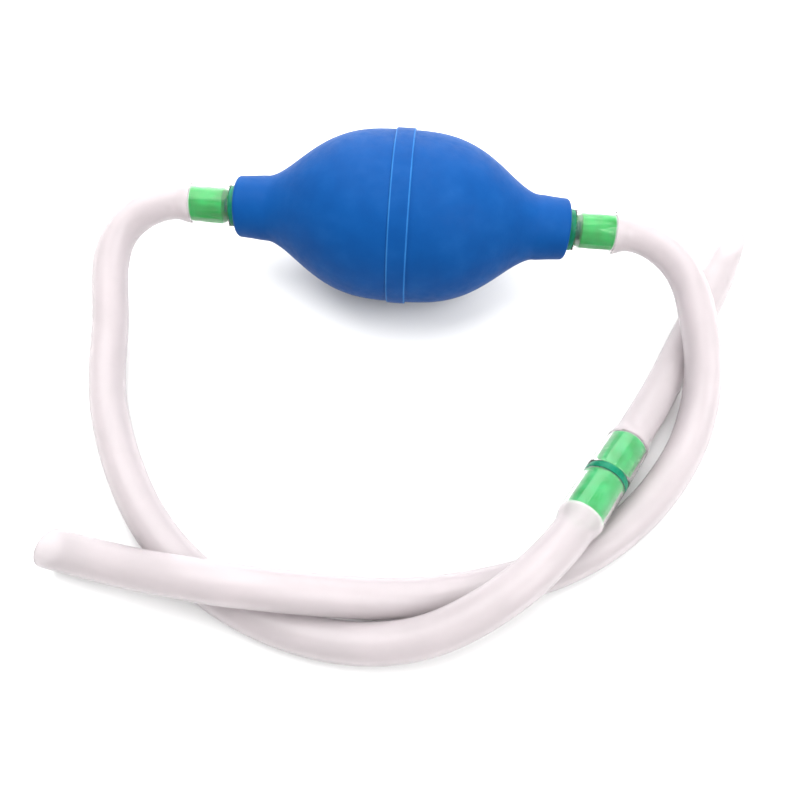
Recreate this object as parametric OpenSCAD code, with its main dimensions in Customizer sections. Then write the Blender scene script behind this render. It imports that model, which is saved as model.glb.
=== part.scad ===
// Hand siphon pump: a rubber squeeze bulb with a ball check valve at each neck,
// and two soft hoses, one of which has a third check valve joined into it.
// Origin on the table under the middle of the bulb, +X from inlet neck to outlet neck, +Z up.

/* [Bulb] */
// Length of the bulb from neck face to neck face
bulb_length = 100; // [96:1:110]
// Diameter of the bulb body beside its band
body_diameter = 50.6; // [48:0.2:54]
// Diameter of each neck
neck_diameter = 18.2; // [17:0.1:20]
// Length of each neck that is straight
neck_length = 9.5; // [8:0.1:10]
// Thickness of the rubber wall
wall = 2.2; // [1.8:0.1:2.8]
// Width of the raised band around the middle
band_width = 5.7; // [4:0.1:8]
// Height of the band above the body
band_height = 0.5; // [0.3:0.1:1]

/* [Pressed wall] */
// Diameter of the round patch of wall that the thumb pushes in
press_diameter = 34; // [28:1:36]
// Gap between the patch and the rest of the wall
press_gap = 0.3; // [0.2:0.05:0.4]

/* [Hose] */
// Outside diameter of the hose
hose_diameter = 10.4; // [10.2:0.1:10.4]
// Inside diameter of the hose
hose_bore = 8.4; // [7.8:0.1:8.8]
// Length of straight hose at each free end
tail_length = 20; // [16:1:22]

/* [Valve housings] */
// Diameter of the ribbed barrel that the hose is pushed over
barrel_diameter = 10.4; // [10:0.1:10.8]
// Length of the barrel on a neck fitting
barrel_length = 10.2; // [10:0.1:11]
// Diameter of the flange
flange_diameter = 12.2; // [12:0.1:13]
// Thickness of the flange
flange_thickness = 1.9; // [1.5:0.1:2.2]
// Diameter of the stem between flange and barrel
stem_diameter = 5.5; // [5:0.1:6]
// Length of the stem
stem_length = 2.1; // [1.5:0.1:2.5]
// Diameter of the plug pressed into the neck
plug_diameter = 10; // [9:0.5:10]
// Length of the plug
plug_length = 9; // [7:0.5:10]
// Diameter of the flow passage
passage_diameter = 4; // [3:0.1:4]
// Length of the joined valve over both of its barrels
inline_length = 30; // [28:0.5:32]

/* [Check valves] */
// Diameter of each ball
ball_diameter = 5; // [4.8:0.1:5.2]
// How far a ball lifts off its seat
ball_travel = 1.5; // [1:0.1:1.6]
// Diameter of the hole in a seat
seat_hole = 3.8; // [3:0.1:4]
// Thickness of each seat and each cage
insert_thickness = 1.6; // [1.4:0.1:1.7]
// Diameter of the chamber that the ball moves in
chamber_diameter = 7.8; // [7.4:0.1:8]

/* [Hidden] */
$fn = 64;

bulb_blue = [0.10, 0.36, 0.70];
valve_green = [0.16, 0.70, 0.42];
insert_green = [0.05, 0.45, 0.30];
ball_steel = [0.70, 0.70, 0.72];
hose_clear = [0.92, 0.87, 0.88, 0.6];

// Bulb
axis_z = body_diameter / 2 + band_height;
half_length = bulb_length / 2;
neck_r = neck_diameter / 2;
body_r = body_diameter / 2;
band_r = body_r + band_height;
neck_corner = 1.2;
plug_r = plug_diameter / 2;
swell = half_length - neck_length;
swell_inside = swell - wall;
profile_steps = 36;
band_corner = 0.25;

// Housings, measured along the flow axis from the neck face outwards
barrel_r = barrel_diameter / 2;
flange_r = flange_diameter / 2;
stem_r = stem_diameter / 2;
passage_r = passage_diameter / 2;
chamber_r = chamber_diameter / 2;
spline_depth = 0.2;
spline_width = 0.7;
spline_count = 16;
barrel_start = flange_thickness + stem_length;
barrel_end = barrel_start + barrel_length;

// Check valves
ball_r = ball_diameter / 2;
seat_r = seat_hole / 2;
ball_clearance = 0.03;
seated_height = sqrt(ball_r * ball_r - seat_r * seat_r) + ball_clearance;
chamber_gap = seated_height + ball_travel + ball_r + ball_clearance;
chamber_length = chamber_gap + 2 * insert_thickness;
chamber_start = barrel_end - chamber_length;
rib_reach = ball_r + 0.1;
rib_width = 0.8;
cage_rim = 0.8;
cage_bar = 1;

// Hose
hose_r = hose_diameter / 2;
bore_r = hose_bore / 2;
cuff_r = barrel_r + 0.9;
cuff_taper = 1.5;
cuff_end = barrel_end + cuff_taper;
lead = 7;
tube_sides = 10;
tube_r = hose_r - 0.05;
rest_z = 5.3;

// Joined valve: its middle, and its heading from the bulb side to the suction side
inline_at = [61.1, -75, 10.9];
inline_turn = 58;
inline_tilt = -12;
inline_half = inline_length / 2;
inline_flange = 1.1;
inline_cuff_end = inline_half + cuff_taper;

// Free ends: where the straight stretch starts, and its heading
suction_tail_at = [102.5, -1, rest_z];
suction_tail_turn = 64;
outlet_tail_at = [-64.4, -108, 9.6];
outlet_tail_turn = 169;
outlet_tail_tilt = -11;

function heading(turn, tilt) = [cos(tilt) * cos(turn), cos(tilt) * sin(turn), sin(tilt)];
inline_heading = heading(inline_turn, inline_tilt);
suction_tail_heading = heading(suction_tail_turn, 0);
outlet_tail_heading = heading(outlet_tail_turn, outlet_tail_tilt);
inlet_exit = [-half_length - cuff_end, 0, axis_z];
outlet_exit = [half_length + cuff_end, 0, axis_z];
inline_low_end = inline_at - inline_cuff_end * inline_heading;
inline_high_end = inline_at + inline_cuff_end * inline_heading;

// Routes of the hoses along the table, over and under each other
inlet_route = concat(
    [inlet_exit, inlet_exit - [lead, 0, 0]],
    [
        [-80, -4, 24.7], [-85.5, -11, 22], [-87.5, -19, 18.2], [-86.3, -27.5, 14],
        [-85, -37, 9.5], [-84.3, -47.5, 6.5], [-81.6, -58.5, 5.3], [-76.8, -69.5, 5.3],
        [-71, -80, 5.3], [-64, -90.5, 5.3], [-55, -100.5, 5.3], [-44.5, -108.5, 5.3],
        [-33, -115, 5.3], [-20, -119.5, 5.3], [-7, -121.8, 5.3], [6, -121.6, 7],
        [18, -119, 10.5], [29, -113, 14.6], [39, -105.7, 17.6]
    ],
    [inline_low_end - lead * inline_heading, inline_low_end]
);
suction_route = concat(
    [inline_high_end, inline_high_end + lead * inline_heading],
    [[80, -44.5, 5.3], [86, -33, 5.3], [92, -21.5, 5.3]],
    [suction_tail_at - lead * suction_tail_heading, suction_tail_at]
);
outlet_route = concat(
    [outlet_exit, outlet_exit + [lead, 0, 0]],
    [
        [79.5, -4, 25.2], [85, -10.8, 23.7], [88, -18.3, 21.4], [89.5, -26, 19],
        [90.9, -34, 16], [91.3, -42.5, 12], [90.3, -50.5, 8.5], [87.4, -59.5, 6],
        [82.5, -68, 5.3], [76, -77, 5.3], [68, -85.5, 5.3], [58.5, -93.2, 5.3],
        [47.5, -99.3, 5.3], [35.5, -103.8, 5.3], [23, -107.3, 5.3], [10.5, -109.7, 5.3],
        [-2, -111, 8], [-13.5, -112, 12], [-25, -112.5, 15.5], [-36, -112.5, 17],
        [-47, -111.3, 16.8]
    ],
    [outlet_tail_at - lead * outlet_tail_heading, outlet_tail_at]
);

// Radius of the bulb at x, for a swelling that runs out at reach
function bulb_r(x, reach, inner, outer) =
    inner + (outer - inner) * pow(max(0, 1 - pow(abs(x) / reach, 3)), 1.6);

// Rounded edge of the neck face
function neck_edge() = [
    for (a = [0:22.5:90])
        [neck_r - neck_corner + neck_corner * cos(a), half_length - neck_corner + neck_corner * sin(a)]
];

function mirrored(points) = [for (i = [len(points) - 1:-1:0]) [points[i][0], -points[i][1]]];

function swelling(reach, inner, outer, from) = [
    for (i = [0:profile_steps])
        let (x = from + (reach - from) * i / profile_steps)
            [bulb_r(x, reach, inner, outer), x]
];

// Points of a cubic B-spline that starts and ends on its first and last control points
function spline_at(p, i) =
    let (
        n = len(p),
        before = i == 0 ? 2 * p[0] - p[1] : p[i - 1],
        after = i == n - 1 ? 2 * p[n - 1] - p[n - 2] : p[i + 1]
    ) (before + 4 * p[i] + after) / 6;

function spline_heading(p, i) =
    let (
        n = len(p),
        before = i == 0 ? 2 * p[0] - p[1] : p[i - 1],
        after = i == n - 1 ? 2 * p[n - 1] - p[n - 2] : p[i + 1],
        along = after - before
    ) along / norm(along);

function tube_ring(p, i, r) =
    let (
        centre = spline_at(p, i),
        along = spline_heading(p, i),
        across = cross([0, 0, 1], along),
        side = across / norm(across),
        up = cross(along, side)
    ) [
        for (k = [0:tube_sides - 1])
            let (a = (k + 0.5) * 360 / tube_sides)
                centre + r * cos(a) * side + r * sin(a) * up
    ];

// A plain tube swept along a route
module tube(route, r) {
    rings = len(route);
    points = [for (i = [0:rings - 1]) each tube_ring(route, i, r)];
    first_cap = [for (k = [0:tube_sides - 1]) k];
    last_cap = [for (k = [tube_sides - 1:-1:0]) (rings - 1) * tube_sides + k];
    sides = [
        for (i = [0:rings - 2], k = [0:tube_sides - 1])
            let (a = i * tube_sides + k, b = i * tube_sides + (k + 1) % tube_sides)
                each [[a, b + tube_sides, b], [a, a + tube_sides, b + tube_sides]]
    ];
    polyhedron(points = points, faces = concat([first_cap], sides, [last_cap]), convexity = 10);
}

// Turns +Z to a heading
module aim(at, turn, tilt = 0) {
    translate(at) rotate([0, 90 - tilt, turn]) children();
}

module at_inlet() {
    aim([-half_length, 0, axis_z], 180) children();
}

module at_outlet() {
    aim([half_length, 0, axis_z], 0) children();
}

module at_inline() {
    aim(inline_at, inline_turn, inline_tilt) children();
}

// Whole rubber wall, about the Z axis
module rubber_wall() {
    outside = concat(
        [[0, -half_length]], mirrored(concat(swelling(swell, neck_r, body_r, 0), neck_edge())),
        concat(swelling(swell, neck_r, body_r, 0), neck_edge()), [[0, half_length]]
    );
    inside = concat(
        [[0, -swell_inside]], mirrored(swelling(swell_inside, plug_r, body_r - wall, 0)),
        swelling(swell_inside, plug_r, body_r - wall, 0), [[0, swell_inside]]
    );
    difference() {
        union() {
            rotate_extrude() polygon(outside);
            rotate_extrude() polygon([
                [body_r - wall / 2, -band_width / 2],
                [band_r - band_corner, -band_width / 2],
                [band_r, band_corner - band_width / 2],
                [band_r, band_width / 2 - band_corner],
                [band_r - band_corner, band_width / 2],
                [body_r - wall / 2, band_width / 2]
            ]);
        }
        rotate_extrude() polygon(inside);
        cylinder(r = plug_r, h = bulb_length + 2, center = true);
    }
}

module press_column(r) {
    translate([0, 0, axis_z + neck_r]) cylinder(r = r, h = body_r);
}

module bulb_shell() {
    color(bulb_blue) difference() {
        aim([0, 0, axis_z], 0) rubber_wall();
        press_column(press_diameter / 2 + press_gap);
    }
}

module bulb_press_wall() {
    color(bulb_blue) intersection() {
        aim([0, 0, axis_z], 0) rubber_wall();
        press_column(press_diameter / 2);
    }
}

// Outline of a barrel with lengthwise splines
module splined_disc(hole_r) {
    difference() {
        union() {
            circle(r = barrel_r - spline_depth);
            intersection() {
                circle(r = barrel_r);
                for (i = [0:spline_count - 1]) {
                    rotate(i * 360 / spline_count) translate([barrel_r / 2, -spline_width / 2])
                        square([barrel_r, spline_width]);
                }
            }
        }
        circle(r = hole_r);
    }
}

// Four ribs that guide the ball
module guide_ribs(from, to) {
    for (i = [0:3]) {
        rotate(45 + i * 90) translate([rib_reach, -rib_width / 2, from])
            cube([chamber_r - rib_reach + 0.2, rib_width, to - from]);
    }
}

module ring(outer_r, inner_r, from, to) {
    translate([0, 0, from]) difference() {
        cylinder(r = outer_r, h = to - from);
        translate([0, 0, -1]) cylinder(r = inner_r, h = to - from + 2);
    }
}

// One moulding: plug, flange, stem and splined barrel with its ball chamber
module neck_fitting() {
    ring(plug_r, passage_r, -plug_length, 0);
    ring(flange_r, passage_r, 0, flange_thickness);
    ring(stem_r, passage_r, flange_thickness, barrel_start);
    ring(barrel_r - spline_depth, passage_r, barrel_start, chamber_start);
    translate([0, 0, chamber_start]) linear_extrude(barrel_end - chamber_start) splined_disc(chamber_r);
    guide_ribs(chamber_start + insert_thickness, barrel_end - insert_thickness);
}

// Ring that the ball seals on
module seat(from) {
    ring(chamber_r, seat_r, from, from + insert_thickness);
}

// Open ring with crossed bars that stops the ball and lets liquid by
module cage(from) {
    ring(chamber_r, chamber_r - cage_rim, from, from + insert_thickness);
    for (a = [0, 90]) {
        rotate(a) translate([-chamber_r + cage_rim / 2, -cage_bar / 2, from])
            cube([2 * chamber_r - cage_rim, cage_bar, insert_thickness]);
    }
}

module inlet_fitting() {
    color(valve_green) at_inlet() neck_fitting();
}

module inlet_seat() {
    color(insert_green) at_inlet() seat(barrel_end - insert_thickness);
}

module inlet_ball() {
    color(ball_steel) at_inlet()
        translate([0, 0, barrel_end - insert_thickness - seated_height]) sphere(r = ball_r);
}

module inlet_cage() {
    color(insert_green) at_inlet() cage(chamber_start);
}

module outlet_fitting() {
    color(valve_green) at_outlet() neck_fitting();
}

module outlet_seat() {
    color(insert_green) at_outlet() seat(chamber_start);
}

module outlet_ball() {
    color(ball_steel) at_outlet()
        translate([0, 0, chamber_start + insert_thickness + seated_height]) sphere(r = ball_r);
}

module outlet_cage() {
    color(insert_green) at_outlet() cage(barrel_end - insert_thickness);
}

// Suction half of the joined valve, with the flange between the two hose ends
module inline_body() {
    color(valve_green) at_inline() {
        ring(flange_r, chamber_r, -inline_flange, inline_flange);
        translate([0, 0, inline_flange])
            linear_extrude(chamber_length / 2 - inline_flange) splined_disc(chamber_r);
        translate([0, 0, chamber_length / 2])
            linear_extrude(inline_half - chamber_length / 2) splined_disc(passage_r);
        guide_ribs(-inline_flange, chamber_length / 2 - insert_thickness);
    }
}

// Bulb half of the joined valve
module inline_cap() {
    color(valve_green) at_inline() {
        translate([0, 0, -chamber_length / 2])
            linear_extrude(chamber_length / 2 - inline_flange) splined_disc(chamber_r);
        translate([0, 0, -inline_half])
            linear_extrude(inline_half - chamber_length / 2) splined_disc(passage_r);
        guide_ribs(insert_thickness - chamber_length / 2, -inline_flange);
    }
}

module inline_seat() {
    color(insert_green) at_inline() seat(chamber_length / 2 - insert_thickness);
}

module inline_ball() {
    color(ball_steel) at_inline()
        translate([0, 0, chamber_length / 2 - insert_thickness - seated_height]) sphere(r = ball_r);
}

module inline_cage() {
    color(insert_green) at_inline() cage(-chamber_length / 2);
}

// Hose end stretched over a barrel, from the flange to just past the barrel
module cuff(from, to) {
    rotate_extrude() polygon([
        [barrel_r, from],
        [cuff_r, from],
        [cuff_r, to],
        [hose_r, to + cuff_taper],
        [bore_r, to + cuff_taper],
        [bore_r, to + cuff_taper / 2],
        [barrel_r, to]
    ]);
}

// Straight open end of a hose
module tail() {
    ring(hose_r, bore_r, 0, tail_length);
}

module inlet_hose() {
    color(hose_clear) {
        at_inlet() cuff(flange_thickness, barrel_end);
        tube(inlet_route, tube_r);
        at_inline() mirror([0, 0, 1]) cuff(inline_flange, inline_half);
    }
}

module suction_hose() {
    color(hose_clear) {
        at_inline() cuff(inline_flange, inline_half);
        tube(suction_route, tube_r);
    }
}

module suction_hose_end() {
    color(hose_clear) aim(suction_tail_at, suction_tail_turn) tail();
}

module outlet_hose() {
    color(hose_clear) {
        at_outlet() cuff(flange_thickness, barrel_end);
        tube(outlet_route, tube_r);
    }
}

module outlet_hose_end() {
    color(hose_clear) aim(outlet_tail_at, outlet_tail_turn, outlet_tail_tilt) tail();
}

bulb_shell();
bulb_press_wall();
inlet_fitting();
inlet_seat();
inlet_ball();
inlet_cage();
outlet_fitting();
outlet_seat();
outlet_ball();
outlet_cage();
inline_body();
inline_cap();
inline_seat();
inline_ball();
inline_cage();
inlet_hose();
suction_hose();
suction_hose_end();
outlet_hose();
outlet_hose_end();
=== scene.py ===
from itertools import accumulate
from math import cos, exp, pi, radians, sin

import bpy
from mathutils import Matrix, Vector, noise


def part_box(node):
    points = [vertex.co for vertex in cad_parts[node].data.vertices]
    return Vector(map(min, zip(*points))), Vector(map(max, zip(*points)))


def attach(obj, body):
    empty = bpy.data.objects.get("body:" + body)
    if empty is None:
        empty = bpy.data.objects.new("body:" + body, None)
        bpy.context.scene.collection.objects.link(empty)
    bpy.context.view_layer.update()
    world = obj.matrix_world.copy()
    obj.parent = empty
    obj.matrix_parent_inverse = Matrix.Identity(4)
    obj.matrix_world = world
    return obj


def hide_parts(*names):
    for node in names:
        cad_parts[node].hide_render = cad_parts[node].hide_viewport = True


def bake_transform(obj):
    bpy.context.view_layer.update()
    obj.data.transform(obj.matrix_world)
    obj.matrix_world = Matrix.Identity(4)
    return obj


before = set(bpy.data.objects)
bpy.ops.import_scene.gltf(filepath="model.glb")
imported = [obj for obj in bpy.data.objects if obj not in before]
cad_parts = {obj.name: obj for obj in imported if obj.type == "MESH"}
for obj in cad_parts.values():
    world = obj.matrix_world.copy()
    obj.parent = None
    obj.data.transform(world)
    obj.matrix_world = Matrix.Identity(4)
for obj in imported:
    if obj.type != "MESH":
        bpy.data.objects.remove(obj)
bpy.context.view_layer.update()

# Sizes in metres, in the CAD frame. The bulb's own come from its nodes.
MM = 0.001
GAP = 0.02 * MM  # hairline between pieces that would share a face

BAND_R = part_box("bulb_press_wall")[1].z / 2
HALF_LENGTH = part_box("bulb_shell")[1].x
AXIS_Z = BAND_R
BODY_R = BAND_R - 0.5 * MM
BAND_WIDTH = 5.7 * MM
BAND_FILLET = 0.45 * MM
BAND_FOOT = 0.12 * MM  # from the band's side out to its foot
BAND_FOOT_SINK = 0.08 * MM  # from the body's radius in to the foot
BAND_TO_BODY = 0.35 * MM
BAND_EDGE = 0.5 * MM  # painted paler, as a highlight
NECK_R = 9.1 * MM
NECK_LENGTH = 9.5 * MM
NECK_CORNER = 1.2 * MM
NECK_CHAMFER = 0.4 * MM
FLARE = 0.6 * MM
FLARE_WIDTH = 5 * MM
WALL = 2.2 * MM

PLUG_R = 5.0 * MM
PLUG_LENGTH = 9.0 * MM
FLANGE_R = 6.1 * MM
FLANGE_END = 1.9 * MM
STEM_R = 2.75 * MM
BARREL_R = 5.2 * MM
BARREL_START = 4.0 * MM
BARREL_END = 14.2 * MM
SPLINE_COUNT = 16
SPLINE_DEPTH = 0.2 * MM
SPLINE_FADE = 0.5 * MM
SPLINE_STOP = 1.2 * MM  # plain length at the barrel's end
RIM = 1.0 * MM  # pale edge of a barrel's end, a painted highlight
SHADE_MARGIN = 0.1 * MM  # between the green darkened as painted shade and the barrel or flange
EDGE_R = 0.35 * MM
PASSAGE_R = 2.0 * MM
CHAMBER_R = 3.9 * MM
CHAMBER_WALL_R = CHAMBER_R + GAP
CHAMBER_LENGTH = 9.75 * MM
INLINE_HALF = 15.0 * MM
INLINE_FLANGE = 1.1 * MM

HOSE_R = 5.2 * MM
BORE_R = 4.2 * MM
CUFF_R = 6.1 * MM
CUFF_BORE_R = BARREL_R + 0.03 * MM
CUFF_FADE = 5.0 * MM
PAST_BARREL = 1.5 * MM
LEAD = 7.0 * MM  # straight run next to a fitting or a free end
TAIL_LENGTH = 20.0 * MM
LIP = 0.25 * MM  # rounding of a cut end
MOUTH = 9.0 * MM  # length of bore at a free end that is painted darker, as shade inside the opening
CUT_FADE = 4 * HOSE_R  # length over which a slanted cut eases in

# Fineness of the meshes
RING_STEP = 1.2 * MM
AROUND_HOSE = 40
AROUND_TURNED = 128
CURVE_STEPS = 12
EDGE_STEPS = 4
BODY_STEPS = 44
NECK_STEPS = 6


def heading(turn, tilt=0.0):
    """Unit vector turned from +X about Z and tilted up, in degrees."""
    t, p = radians(turn), radians(tilt)
    return Vector((cos(p) * cos(t), cos(p) * sin(t), sin(p)))


def smooth(t):
    """Eases from 0 to 1 while t goes from 0 to 1."""
    t = min(1.0, max(0.0, t))
    return t * t * (3 - 2 * t)


# Each fitting's place and the way it points
INLET_AT = Vector((-HALF_LENGTH, 0, AXIS_Z))
INLET_OUT = Vector((-1, 0, 0))
OUTLET_AT = Vector((HALF_LENGTH, 0, AXIS_Z))
OUTLET_OUT = Vector((1, 0, 0))
INLINE_AT = Vector((61.1, -75, 10.9)) * MM
INLINE_OUT = heading(58, -12)

# Each free end's place, where its last straight length starts
SUCTION_TAIL_AT = Vector((102.5, -1, 5.3)) * MM
SUCTION_TAIL_OUT = heading(64)
OUTLET_TAIL_AT = Vector((-64.4, -108, 9.6)) * MM
OUTLET_TAIL_OUT = heading(169, -11)

# Middle stretches of the hoses' routes, in millimetres. The middle of a hose that lies on the
# table is 5.3 above it.
INLET_ROUTE = [
    (-80, -4, 24.7), (-85.5, -11, 22), (-87.5, -19, 18.2), (-86.3, -27.5, 14),
    (-85, -37, 9.5), (-84.3, -47.5, 6.5), (-81.6, -58.5, 5.3), (-76.8, -69.5, 5.3),
    (-71, -80, 5.3), (-64, -90.5, 5.3), (-55, -100.5, 5.3), (-44.5, -108.5, 5.3),
    (-33, -115, 5.3), (-20, -119.5, 5.3), (-7, -121.8, 5.3), (6, -121.6, 7),
    (18, -119, 10.5), (29, -113, 14.6), (39, -105.7, 17.6),
]
SUCTION_ROUTE = [(80, -44.5, 5.3), (86, -33, 5.3), (92, -21.5, 5.3)]
OUTLET_ROUTE = [
    (79.5, -4, 25.2), (85, -10.8, 23.7), (88, -18.3, 21.4), (89.5, -26, 19),
    (90.9, -34, 16), (91.3, -42.5, 12), (90.3, -50.5, 8.5), (87.4, -59.5, 6),
    (82.5, -68, 5.3), (76, -77, 5.3), (68, -85.5, 5.3), (58.5, -93.2, 5.3),
    (47.5, -99.3, 5.3), (35.5, -103.8, 5.3), (23, -107.3, 5.3), (10.5, -109.7, 5.3),
    (-2, -111, 8), (-13.5, -112, 12), (-25, -112.5, 15.5), (-36, -112.5, 17),
    (-47, -111.3, 16.8),
]


# Camera
def add_camera():
    """The camera stands above and in front of the object and looks down at the loops."""
    eye = Vector((8.304, -151.961, 185.713)) * MM
    target = Vector((3.8, -49.1, 0)) * MM
    roll = radians(2.17)
    ahead = (target - eye).normalized()
    level = ahead.cross(Vector((0, 0, 1))).normalized()
    upright = level.cross(ahead)
    right = level * cos(roll) + upright * sin(roll)
    up = upright * cos(roll) - level * sin(roll)
    data = bpy.data.cameras.new("camera")
    data.sensor_width = 36
    data.lens = 31.5
    data.clip_start = 0.01
    camera = bpy.data.objects.new("camera", data)
    turn = Matrix((right, up, -ahead)).transposed().to_4x4()
    camera.matrix_world = Matrix.Translation(eye) @ turn
    bpy.context.collection.objects.link(camera)
    bpy.context.scene.camera = camera


add_camera()


# Material helpers
def new_material(name, color, roughness, **sockets):
    """A Principled material and its shader. A socket's name has _ for each space."""
    material = bpy.data.materials.new(name)
    material.use_nodes = True
    material.diffuse_color = (*color, 1)
    shader = material.node_tree.nodes["Principled BSDF"]
    shader.inputs["Base Color"].default_value = (*color, 1)
    shader.inputs["Roughness"].default_value = roughness
    for socket, value in sockets.items():
        shader.inputs[socket.replace("_", " ")].default_value = value
    return material, shader


def add_node(material, kind, **inputs):
    node = material.node_tree.nodes.new(kind)
    for name, value in inputs.items():
        node.inputs[name].default_value = value
    return node


def link(material, source, target):
    material.node_tree.links.new(source, target)


def object_noise(material, scale, detail):
    """Noise in the frame's own space, so that its grain has a real size."""
    place = add_node(material, "ShaderNodeTexCoord")
    texture = add_node(material, "ShaderNodeTexNoise", Scale=scale, Detail=detail)
    link(material, place.outputs["Object"], texture.inputs["Vector"])
    return texture.outputs["Fac"]


def ramp(material, source, stops):
    """Colours, or greys given as one number, at places from 0 to 1."""
    node = add_node(material, "ShaderNodeValToRGB")
    elements = node.color_ramp.elements
    while len(elements) < len(stops):
        elements.new(0.5)
    for element, (place, color) in zip(elements, stops):
        element.position = place
        element.color = (*color, 1) if isinstance(color, tuple) else (color, color, color, 1)
    link(material, source, node.inputs["Fac"])
    return node.outputs["Color"]


def vary_color(material, shader, scale, detail, stops):
    """Clouds of colour, with a noise of this scale and detail."""
    colors = ramp(material, object_noise(material, scale, detail), stops)
    link(material, colors, shader.inputs["Base Color"])


def vary_roughness(material, shader, scale, detail, low, high):
    """Patches between two roughnesses, with a noise of this scale and detail."""
    patches = ramp(material, object_noise(material, scale, detail), [(0.3, low), (0.7, high)])
    link(material, patches, shader.inputs["Roughness"])


def add_bump(material, shader, scale, detail, distance, strength):
    """Relief this many metres deep, with a noise of this scale and detail."""
    node = add_node(material, "ShaderNodeBump", Strength=strength, Distance=distance)
    link(material, object_noise(material, scale, detail), node.inputs["Height"])
    link(material, node.outputs["Normal"], shader.inputs["Normal"])


def rubber_material(name, dark, middle, light):
    """Matte blue rubber, mottled with a pale bloom."""
    material, shader = new_material(
        name, middle, 0.5, Specular_IOR_Level=0.06, Sheen_Weight=0.08, Sheen_Roughness=0.25,
    )
    vary_color(material, shader, 130, 6, [(0.30, dark), (0.52, middle), (0.75, light)])
    vary_roughness(material, shader, 420, 5, 0.46, 0.62)
    add_bump(material, shader, 1500, 4, distance=0.06 * MM, strength=0.6)
    return material


def plastic_material(name, dark, light, roughness=0.2):
    """Soft translucent moulding with flow marks along it."""
    material, shader = new_material(
        name, light, roughness, Specular_IOR_Level=0.12, Subsurface_Weight=0.35,
        Subsurface_Radius=(0.6, 1.0, 0.6), Subsurface_Scale=1.6 * MM,
    )
    vary_color(material, shader, 260, 4, [(0.33, dark), (0.68, light)])
    vary_roughness(material, shader, 500, 3, roughness - 0.07, roughness + 0.1)
    add_bump(material, shader, 700, 3, distance=0.05 * MM, strength=0.5)
    return material


def vinyl_material(name, dark, light, transmission, roughness, gloss, ior):
    """Soft hose wall. The less it transmits, the more milky and pink it looks."""
    material, shader = new_material(
        name, light, roughness, IOR=ior, Transmission_Weight=transmission,
        Specular_IOR_Level=gloss,
    )
    vary_color(material, shader, 90, 4, [(0.3, dark), (0.7, light)])
    vary_roughness(material, shader, 240, 3, roughness - 0.03, roughness + 0.04)
    add_bump(material, shader, 160, 3, distance=0.1 * MM, strength=0.3)
    return material


def steel_material():
    """Polished steel ball with faint lapping marks."""
    material, shader = new_material("valve_ball", (0.70, 0.70, 0.72), 0.18, Metallic=1.0)
    tones = [(0.3, (0.62, 0.62, 0.64)), (0.7, (0.78, 0.78, 0.79))]
    vary_color(material, shader, 600, 4, tones)
    vary_roughness(material, shader, 900, 3, 0.12, 0.3)
    add_bump(material, shader, 2500, 2, distance=0.01 * MM, strength=0.4)
    return material


def floor_material():
    """Plain white table top."""
    material, shader = new_material("floor_white", (0.62, 0.62, 0.62), 0.7)
    vary_color(material, shader, 4, 2, [(0.3, 0.615), (0.7, 0.625)])
    return material


RUBBER = rubber_material(
    "bulb_rubber", (0.0008, 0.042, 0.172), (0.001, 0.046, 0.184), (0.003, 0.053, 0.200),
)
# Paler rubber on the band's edges: a painted highlight
BAND_EDGE_HIGHLIGHT = rubber_material(
    "band_edge", (0.010, 0.090, 0.280), (0.016, 0.110, 0.310), (0.024, 0.130, 0.345),
)
GREEN = plastic_material("valve_plastic", (0.010, 0.25, 0.05), (0.040, 0.37, 0.12))
# A darker copy of the valve green for the neck fittings, where the top light falls stronger:
# painted shade
FITTING_SHADED_GREEN = plastic_material("fitting_plastic", (0.001, 0.24, 0.03), (0.006, 0.38, 0.07))
# Pale green for the barrels' end rims: a painted highlight
RIM_HIGHLIGHT = plastic_material("valve_rim", (0.34, 0.52, 0.40), (0.46, 0.62, 0.50))
# The moulding's green darkened for flanges and stems: painted shade
SHADED_GREEN = plastic_material(
    "valve_flange", (0.0005, 0.10, 0.05), (0.002, 0.15, 0.08), roughness=0.25,
)
INSERT = plastic_material(
    "valve_insert", (0.008, 0.17, 0.07), (0.015, 0.24, 0.11), roughness=0.28,
)
MILKY = vinyl_material(
    "hose_vinyl", (0.62, 0.575, 0.587), (0.66, 0.61, 0.623),
    transmission=0.65, roughness=0.22, gloss=0.15, ior=1.3,
)
# Darker vinyl for the hoses' end faces and the bore near a free end: painted shade
END_SHADE = vinyl_material(
    "hose_end_shade", (0.40, 0.37, 0.38), (0.46, 0.43, 0.44),
    transmission=0.5, roughness=0.22, gloss=0.15, ior=1.3,
)
CLEAR = vinyl_material(
    "hose_stretched", (0.90, 0.90, 0.895), (0.94, 0.94, 0.935),
    transmission=0.985, roughness=0.07, gloss=0.3, ior=1.2,
)
STEEL = steel_material()


# Mesh helpers
def new_piece(name, points, faces, materials, face_materials=None):
    mesh = bpy.data.meshes.new(name)
    mesh.from_pydata(points, [], faces)
    for material in materials:
        mesh.materials.append(material)
    mesh.polygons.foreach_set("use_smooth", [True] * len(faces))
    if face_materials:
        mesh.polygons.foreach_set("material_index", face_materials)
    mesh.update()
    piece = bpy.data.objects.new(name, mesh)
    bpy.context.collection.objects.link(piece)
    return piece


def spline(points):
    """Fine points on the cubic B-spline that starts and ends on the first and last points."""
    p = [2 * points[0] - points[1], *points, 2 * points[-1] - points[-2]]
    fine = []
    for a, b, c, d in zip(p, p[1:], p[2:], p[3:]):
        for k in range(CURVE_STEPS):
            u = k / CURVE_STEPS
            fine.append((
                a * (1 - u) ** 3 + b * (3 * u ** 3 - 6 * u ** 2 + 4)
                + c * (-3 * u ** 3 + 3 * u ** 2 + 3 * u + 1) + d * u ** 3
            ) / 6)
    return fine + [points[-1]]


def line_length(line):
    return sum((b - a).length for a, b in zip(line, line[1:]))


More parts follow.
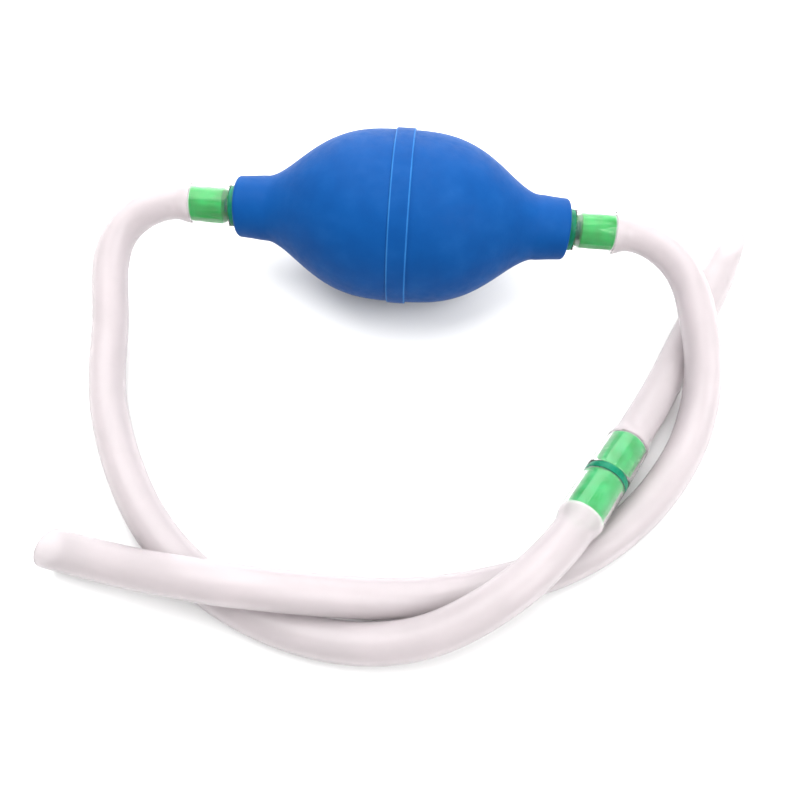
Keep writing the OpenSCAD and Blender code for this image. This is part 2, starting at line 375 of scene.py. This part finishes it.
def evenly(line, places):
    """Points on the line at these distances from its start."""
    reached = [0.0, *accumulate((b - a).length for a, b in zip(line, line[1:]))]
    out, i = [], 0
    for place in places:
        while i < len(line) - 2 and reached[i + 1] < place:
            i += 1
        share = (place - reached[i]) / (reached[i + 1] - reached[i])
        out.append(line[i].lerp(line[i + 1], share))
    return out


def tube_frames(centres):
    """The direction along the tube at each centre, and the two across it, level and up."""
    frames = []
    for i in range(len(centres)):
        along = (centres[min(i + 1, len(centres) - 1)] - centres[max(i - 1, 0)]).normalized()
        side = Vector((0, 0, 1)).cross(along).normalized()
        frames.append((along, side, along.cross(side)))
    return frames


def rings_to_faces(rings, around):
    """Quads between rings that follow each other, from the last ring back to the first."""
    faces = []
    for i in range(rings):
        for k in range(around):
            a = i * around + k
            b = i * around + (k + 1) % around
            c = ((i + 1) % rings) * around + k
            d = ((i + 1) % rings) * around + (k + 1) % around
            faces.append((a, b, d, c))
    return faces


# Hoses
HOSE_MATERIALS = [MILKY, CLEAR, END_SHADE]
PLAIN, STRETCHED, SHADED_END = range(3)
WOBBLE = 0.012  # share of the radius by which a section is out of round
WOBBLE_SCALE = 60  # per metre


def hose_kinds(places, over_first, over_last):
    """Each face's material: along the outside, round the far end, back inside, round the start."""
    length = places[-1]
    wall = []
    bore = []
    for a, b in zip(places, places[1:]):
        over_barrel = 0.5 * (a + b) < over_first or 0.5 * (a + b) > length - over_last
        # The bore near a free end is painted darker, as shade
        at_mouth = not over_last and b > length - MOUTH
        wall.append(STRETCHED if over_barrel else PLAIN)
        bore.append(SHADED_END if at_mouth else wall[-1])
    return [kind for kind in wall + [SHADED_END] + bore[::-1] + [SHADED_END] for _ in range(AROUND_HOSE)]


def hose(name, first, route, last, shape, over_first=0.0, over_last=0.0, cut=0.0):
    """A hollow hose from first to last through the route's control points.

    shape(from_start, to_end) gives the outer and inner radius, the level and upright stretch of
    the section, and how far its middle is lifted. over_first and over_last are the lengths pushed
    over a barrel, where the wall is stretched clear. cut slants the far end.
    """
    line = [first, *spline(route), last]
    length = line_length(line)
    steps = round(length / RING_STEP)
    between = [length * i / steps for i in range(1, steps)]
    between += [place for place in (over_first, length - over_last) if 0 < place < length]
    places = [0, LIP, *sorted(between), length - LIP, length]
    centres = evenly(line, places)
    lifted = []
    outside = []
    inside = []
    for place, centre, (along, side, up) in zip(places, centres, tube_frames(centres)):
        outer, inner, level, upright, lift = shape(place, length - place)
        if place in (0, length):
            outer -= LIP
            inner += LIP
        wobble = 1 + WOBBLE * noise.noise(centre * WOBBLE_SCALE)
        middle = centre + lift * up
        lifted.append(middle)
        slant = cut * smooth(1 - (length - place) / CUT_FADE)
        for rings, r in ((outside, outer), (inside, inner)):
            ring = []
            for k in range(AROUND_HOSE):
                a = 2 * pi * k / AROUND_HOSE
                across = r * level * wobble * cos(a)
                ring.append(
                    middle + side * across + up * r * upright / wobble * sin(a)
                    + along * across * slant
                )
            rings.append(ring)
    points = [point for ring in outside + inside[::-1] for point in ring]
    faces = rings_to_faces(2 * len(places), AROUND_HOSE)
    kinds = hose_kinds(places, over_first, over_last)
    piece = new_piece(name, points, faces, HOSE_MATERIALS, kinds)
    return piece, lifted, length


def cuff(distance, reach, bulge=0.0):
    """How much wider the hose and its bore are where the end is pushed over a barrel.

    distance is from that end, reach is the length over the barrel, and bulge swells the hose
    around the barrel's end.
    """
    over = 1 - smooth((distance - reach) / CUFF_FADE)
    belly = bulge * sin(pi * min(1.0, distance / (reach + CUFF_FADE))) ** 2
    return over * (CUFF_R - HOSE_R) + belly, over * (CUFF_BORE_R - BORE_R) + belly


def bump_at(place, middle, half_width):
    """A soft hump of height 1 around a place along a hose."""
    return smooth(1 - abs(place - middle) / half_width)


# Lengths of hose that are pushed over a barrel
NECK_REACH = BARREL_END - FLANGE_END
INLINE_REACH = INLINE_HALF - INLINE_FLANGE


def inlet_shape(place, rest):
    """Pushed over a barrel at both ends, and narrowed where it turns down sharply."""
    near = cuff(place, NECK_REACH)
    far = cuff(rest, INLINE_REACH)
    kink = bump_at(place, middle=34 * MM, half_width=13 * MM)
    outer = HOSE_R + near[0] + far[0]
    inner = BORE_R + near[1] + far[1]
    return outer, inner, 1 - 0.2 * kink, 1 + 0.08 * kink, 0


def suction_shape(place, rest):
    """Pushed over a barrel at its start, and pinched at its free end."""
    near = cuff(place, INLINE_REACH)
    pinch = smooth(1 - rest / (16 * MM))
    lift = 0.9 * MM * pinch
    return HOSE_R + near[0], BORE_R + near[1], 1 - 0.24 * pinch, 1 + 0.17 * pinch, lift


def outlet_shape(place, rest):
    """Pushed over a barrel at its start, and narrowed where it turns down."""
    near = cuff(place, NECK_REACH, bulge=0.5 * MM)
    kink = bump_at(place, middle=36 * MM, half_width=15 * MM)
    return HOSE_R + near[0], BORE_R + near[1], 1 - 0.12 * kink, 1 + 0.05 * kink, 0


def in_metres(points):
    return [Vector(p) * MM for p in points]


inlet_start = INLET_AT + INLET_OUT * FLANGE_END
inlet_cuff_end = INLET_AT + INLET_OUT * (BARREL_END + PAST_BARREL)
inline_low = INLINE_AT - INLINE_OUT * (INLINE_HALF + PAST_BARREL)
inline_high = INLINE_AT + INLINE_OUT * (INLINE_HALF + PAST_BARREL)
outlet_start = OUTLET_AT + OUTLET_OUT * FLANGE_END
outlet_cuff_end = OUTLET_AT + OUTLET_OUT * (BARREL_END + PAST_BARREL)

inlet_hose, inlet_path, inlet_length = hose(
    "hose_to_inlet",
    inlet_start,
    [inlet_cuff_end, inlet_cuff_end + INLET_OUT * LEAD, *in_metres(INLET_ROUTE),
     inline_low - INLINE_OUT * LEAD, inline_low],
    INLINE_AT - INLINE_OUT * INLINE_FLANGE,
    inlet_shape,
    over_first=NECK_REACH,
    over_last=INLINE_REACH,
)
suction_hose, suction_path, suction_length = hose(
    "hose_to_suction_end",
    INLINE_AT + INLINE_OUT * INLINE_FLANGE,
    [inline_high, inline_high + INLINE_OUT * LEAD, *in_metres(SUCTION_ROUTE),
     SUCTION_TAIL_AT - SUCTION_TAIL_OUT * LEAD, SUCTION_TAIL_AT],
    SUCTION_TAIL_AT + SUCTION_TAIL_OUT * TAIL_LENGTH,
    suction_shape,
    over_first=INLINE_REACH,
)
outlet_hose, outlet_path, outlet_length = hose(
    "hose_to_outlet_end",
    outlet_start,
    [outlet_cuff_end, outlet_cuff_end + OUTLET_OUT * LEAD, *in_metres(OUTLET_ROUTE),
     OUTLET_TAIL_AT - OUTLET_TAIL_OUT * LEAD, OUTLET_TAIL_AT],
    OUTLET_TAIL_AT + OUTLET_TAIL_OUT * TAIL_LENGTH,
    outlet_shape,
    over_first=NECK_REACH,
    cut=0.12,
)


# Turned pieces
def rounded(corners):
    """The outline with each corner turned into a small curve, shorter than half of its sides."""
    out = []
    count = len(corners)
    for i in range(count):
        a, b, c = (Vector(corners[j % count]) for j in (i - 1, i, i + 1))
        reach = min(EDGE_R, 0.45 * (a - b).length, 0.45 * (c - b).length)
        start = b + (a - b).normalized() * reach
        end = b + (c - b).normalized() * reach
        for k in range(EDGE_STEPS + 1):
            u = k / EDGE_STEPS
            out.append(start * (1 - u) ** 2 + b * 2 * u * (1 - u) + end * u * u)
    return out


def turned(name, outline, at, out, materials, paint, ribbed=None):
    """A closed outline of (distance along the axis, radius) turned about the axis.

    paint(along, radius) says which material it has there, and ribbed(along, radius) how deep
    the splines are.
    """
    side = Vector((0, 0, 1)).cross(out).normalized()
    up = out.cross(side)
    points = []
    for along, r in outline:
        depth = ribbed(along, r) if ribbed else 0
        for k in range(AROUND_TURNED):
            a = 2 * pi * k / AROUND_TURNED
            ridge = smooth(0.5 + 0.9 * cos(SPLINE_COUNT * a))
            here = r - depth * (1 - ridge)
            points.append(at + out * along + side * here * cos(a) + up * here * sin(a))
    kinds = []
    for (a, r), (b, s) in zip(outline, outline[1:] + outline[:1]):
        kinds += [paint((a + b) / 2, (r + s) / 2)] * AROUND_TURNED
    faces = rings_to_faces(len(outline), AROUND_TURNED)
    return new_piece(name, points, faces, materials, kinds)


def moulding(name, node, at, out, corners, plastic, barrel, deep_end):
    """A green moulding with a splined barrel between two places along its axis.

    It is painted a darker green up to deep_end, as shade on the flange and stem, and has a pale
    rim at the barrel's end, as a painted highlight.
    """
    start, end = barrel
    plain, rim, deep = range(3)

    def paint(along, r):
        # The barrel's end rim is painted pale, as a highlight
        if along > end - RIM and r > BARREL_R - RIM:
            return rim
        # Flange and stem painted darker, as shade
        return deep if along < deep_end else plain

    def ribbed(along, r):
        into = min(along - start, end - SPLINE_STOP - along)
        return SPLINE_DEPTH * smooth(into / SPLINE_FADE) * (r > CHAMBER_R + SPLINE_DEPTH)

    piece = turned(name, rounded(corners), at, out, [plastic, RIM_HIGHLIGHT, SHADED_GREEN], paint, ribbed)
    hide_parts(node)
    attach(piece, "pump")
    return piece


def neck_fitting(name, node, at, out):
    """One moulding with its plug in the bulb's neck: flange, stem and splined barrel."""
    chamber_start = BARREL_END - CHAMBER_LENGTH
    corners = [
        (-PLUG_LENGTH, PASSAGE_R), (-PLUG_LENGTH, PLUG_R), (GAP, PLUG_R), (GAP, FLANGE_R),
        (FLANGE_END, FLANGE_R), (FLANGE_END, STEM_R), (BARREL_START, STEM_R),
        (BARREL_START, BARREL_R), (BARREL_END, BARREL_R), (BARREL_END, CHAMBER_WALL_R),
        (chamber_start, CHAMBER_WALL_R), (chamber_start, PASSAGE_R),
    ]
    barrel = (BARREL_START, BARREL_END)
    moulding(name, node, at, out, corners, FITTING_SHADED_GREEN, barrel, BARREL_START - SHADE_MARGIN)


def inline_half(name, node, out, inner_end):
    """One half of the joined valve, outwards from the outline of its inner end."""
    chamber_end = CHAMBER_LENGTH / 2
    corners = [
        *inner_end, (INLINE_HALF, BARREL_R), (INLINE_HALF, PASSAGE_R), (chamber_end, PASSAGE_R),
        (chamber_end, CHAMBER_WALL_R),
    ]
    barrel = (INLINE_FLANGE, INLINE_HALF)
    return moulding(
        name, node, INLINE_AT, out, corners, GREEN, barrel, INLINE_FLANGE + SHADE_MARGIN,
    )


flanged_end = [
    (-INLINE_FLANGE, CHAMBER_WALL_R), (-INLINE_FLANGE, FLANGE_R), (INLINE_FLANGE, FLANGE_R),
    (INLINE_FLANGE, BARREL_R),
]
# The last point is so near the corner that it stays sharp, against the flange
cap_start = INLINE_FLANGE + GAP
sharp_end = [
    (cap_start, CHAMBER_WALL_R), (cap_start, BARREL_R), (cap_start + 0.01 * MM, BARREL_R),
]

neck_fitting("fitting_inlet", "inlet_fitting", INLET_AT, INLET_OUT)
neck_fitting("fitting_outlet", "outlet_fitting", OUTLET_AT, OUTLET_OUT)
inline_body = inline_half("inline_valve_body", "inline_body", INLINE_OUT, flanged_end)
inline_cap = inline_half("inline_valve_cap", "inline_cap", -INLINE_OUT, sharp_end)


# Bulb
def bulb_radius(x, reach, neck, middle):
    """Radius of the swelling at x, from the middle to the neck, where it runs out at reach.

    The first power sets how full it is, the second how softly it runs out.
    """
    return neck + (middle - neck) * max(0.0, 1 - (abs(x) / reach) ** 3) ** 1.6


def neck_flare(x, reach):
    """Extra radius that eases the neck into the swelling around reach."""
    return FLARE * exp(-((x - reach) / FLARE_WIDTH) ** 2)


def quarter_circle(along, r, radius, steps):
    """Points around a centre at (along, r), from straight outwards to along the axis."""
    angles = [radians(90 * k / steps) for k in range(steps + 1)]
    return [(along + radius * sin(a), r + radius * cos(a)) for a in angles]


def bulb_outline():
    """Outer wall from one neck to the other, then the inner wall back."""
    band = BAND_WIDTH / 2
    band_side = [
        (0.0, BAND_R), (0.5 * band, BAND_R),
        *quarter_circle(band - BAND_FILLET, BAND_R - BAND_FILLET, BAND_FILLET, 5),
        (band + BAND_FOOT, BODY_R - BAND_FOOT_SINK),
    ]
    reach = HALF_LENGTH - NECK_LENGTH
    body = []
    for i in range(BODY_STEPS + 1):
        x = band + BAND_TO_BODY + (reach - band - BAND_TO_BODY) * i / BODY_STEPS
        body.append((x, bulb_radius(x, reach, NECK_R, BODY_R) + neck_flare(x, reach)))
    neck = []
    for k in range(1, NECK_STEPS):
        x = reach + (HALF_LENGTH - NECK_CORNER - reach) * k / NECK_STEPS
        neck.append((x, NECK_R + neck_flare(x, reach)))
    corner = quarter_circle(HALF_LENGTH - NECK_CORNER, NECK_R - NECK_CORNER, NECK_CORNER, 6)
    mouth = [(HALF_LENGTH, PLUG_R + NECK_CHAMFER), (HALF_LENGTH - NECK_CHAMFER, PLUG_R)]
    reach_inside = reach - WALL
    inner = []
    for i in range(BODY_STEPS + 1):
        x = reach_inside * (1 - i / BODY_STEPS)
        inner.append((x, bulb_radius(x, reach_inside, PLUG_R, BODY_R - WALL)))
    right = band_side + body + neck + corner + mouth + inner[:-1]
    left = [(-x, r) for x, r in reversed(right[1:])]
    return right + [inner[-1]] + left


def on_band_edge(along, r):
    """1 on the band's two edges, which are painted paler as a highlight, and 0 elsewhere."""
    return int(r > BODY_R and BAND_WIDTH / 2 - BAND_EDGE < abs(along) < BAND_WIDTH / 2)


bulb = turned(
    "bulb", bulb_outline(), Vector((0, 0, AXIS_Z)), Vector((1, 0, 0)), [RUBBER, BAND_EDGE_HIGHLIGHT],
    on_band_edge,
)
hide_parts("bulb_shell", "bulb_press_wall")
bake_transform(bulb)

# What shows of the CAD
for node_name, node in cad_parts.items():
    if node_name.endswith("_ball"):
        node.data.materials.clear()
        node.data.materials.append(STEEL)
    if node_name.endswith(("_seat", "_cage")):
        node.data.materials.clear()
        node.data.materials.append(INSERT)

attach(inlet_hose, "pump")
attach(suction_hose, "pump")
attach(outlet_hose, "pump")
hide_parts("inlet_hose")
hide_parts("suction_hose", "suction_hose_end")
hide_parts("outlet_hose", "outlet_hose_end")


# Floor and light
def add_floor(half):
    """A square table top, this far from its middle to each side."""
    corners = [(-half, -half, 0), (half, -half, 0), (half, half, 0), (-half, half, 0)]
    floor = new_piece("floor", corners, [(0, 1, 2, 3)], [floor_material()])


def add_world(strength):
    """Even white light from all around."""
    world = bpy.data.worlds.new("studio")
    world.use_nodes = True
    background = world.node_tree.nodes["Background"]
    background.inputs["Color"].default_value = (1, 1, 1, 1)
    background.inputs["Strength"].default_value = strength
    bpy.context.scene.world = world


def add_softbox(name, at, target, size, power):
    """A rectangular light that faces its target, with its power in watts."""
    data = bpy.data.lights.new(name, "AREA")
    data.shape = "RECTANGLE"
    data.size, data.size_y = size
    data.energy = power
    light = bpy.data.objects.new(name, data)
    light.location = at
    light.rotation_euler = (Vector(target) - Vector(at)).to_track_quat("-Z", "Y").to_euler()
    bpy.context.collection.objects.link(light)


add_floor(half=3.0)
add_world(strength=1.1)
add_softbox("key", at=(-0.1, 0.12, 0.65), target=(0, -0.04, 0), size=(0.7, 0.6), power=7.5)
add_softbox("back", at=(0, 0.5, 0.26), target=(0, 0, 0.02), size=(0.9, 0.4), power=4.0)
add_softbox("fill", at=(0.4, -0.3, 0.5), target=(0, -0.04, 0), size=(0.5, 0.5), power=4.0)
bpy.context.scene.view_settings.view_transform = "Standard"
